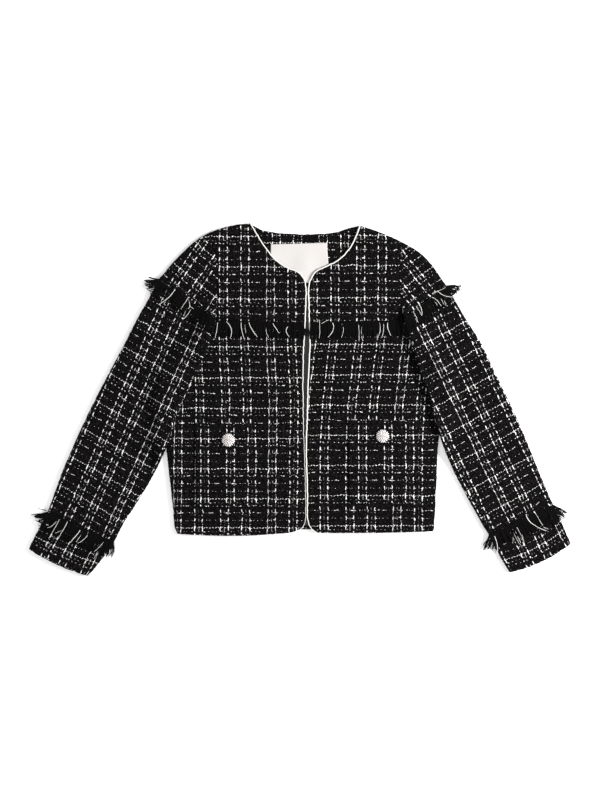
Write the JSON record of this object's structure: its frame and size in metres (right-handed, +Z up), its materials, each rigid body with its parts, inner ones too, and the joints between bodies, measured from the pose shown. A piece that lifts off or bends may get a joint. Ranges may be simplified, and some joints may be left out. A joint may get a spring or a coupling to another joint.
{
  "type": "cropped tweed jacket",
  "caption": "Collarless cropped tweed jacket laid flat front up, black with a white windowpane of slub yarn, frayed yoke, arm and cuff edges, white piping and beaded pocket buttons.",
  "frame": {"origin": "on the surface that the jacket lies on, under the middle of its box", "axes": "+X to the wearer's left, +Y from the hem to the collar, +Z up out of the front"},
  "size_m": [0.9476, 0.6178, 0.0187],
  "materials": {
    "tweed": "matte boucle tweed, black ground with white slub yarns",
    "frayed_yarn": "frayed black wool yarn",
    "dark_lining": "satin lining",
    "white_piping": "satin piping",
    "white_label": "woven satin label, blank",
    "pearl_beads": "pearl beads"
  },
  "bodies": {
    "root": {"back": "tweed", "back_lining": "dark_lining", "neck_facing": "tweed", "label": "white_label", "front_right": "tweed", "front_left": "tweed", "yoke_right": "tweed", "yoke_left": "tweed", "fringe_chest_right": "frayed_yarn", "fringe_chest_left": "frayed_yarn", "pocket_right": "tweed", "pocket_left": "tweed", "button_right": "pearl_beads", "button_left": "pearl_beads", "piping_right": "white_piping", "piping_left": "white_piping", "sleeve_cap_right": "tweed", "sleeve_cap_left": "tweed", "fringe_arm_right": "frayed_yarn", "fringe_arm_left": "frayed_yarn", "sleeve_right": "tweed", "sleeve_left": "tweed", "fringe_cuff_right": "frayed_yarn", "fringe_cuff_left": "frayed_yarn", "cuff_right": "tweed", "cuff_left": "tweed"}
  },
  "joints": []
}
